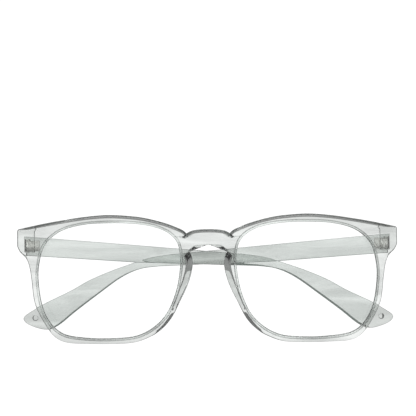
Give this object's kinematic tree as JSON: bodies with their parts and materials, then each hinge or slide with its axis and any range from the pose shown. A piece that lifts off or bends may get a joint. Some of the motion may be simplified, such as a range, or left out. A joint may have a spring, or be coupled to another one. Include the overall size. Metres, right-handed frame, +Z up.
{
  "type": "eyeglasses",
  "caption": "Full-rim see-through plastic eyeglasses with rounded rectangular lenses, moulded nose pads and folding temples, stored folded.",
  "frame": {"origin": "on the ground plane, under the middle of the folded pair's box, where the two lower rims stand", "axes": "+X to the wearer's left along the width of the front, +Y from the front back to the temples, +Z up"},
  "size_m": [0.141, 0.0216, 0.0474],
  "materials": {
    "clear_plastic": "polished",
    "clear_lens": "polished",
    "hinge_metal": "satin nickel"
  },
  "bodies": {
    "front": {"front_frame": "clear_plastic", "lens_left": "clear_lens", "lens_right": "clear_lens", "hinge_front_leaf_left": "hinge_metal", "hinge_front_leaf_right": "hinge_metal", "pivot_screw_left": "hinge_metal", "pivot_screw_right": "hinge_metal"},
    "temple_left": {"temple_left": "clear_plastic", "hinge_temple_leaf_left": "hinge_metal"},
    "temple_right": {"temple_right": "clear_plastic", "hinge_temple_leaf_right": "hinge_metal"}
  },
  "joints": [
    {"name": "open_temple_left", "type": "hinge", "parent": "front", "child": "temple_left", "pos_m": [0.06645, 0.00316, 0.036], "axis": [0, 0, -1], "range_deg": [0, 88.5]},
    {"name": "open_temple_right", "type": "hinge", "parent": "front", "child": "temple_right", "pos_m": [-0.06645, 0.00316, 0.036], "axis": [0, 0, 1], "range_deg": [0, 91.5]}
  ]
}
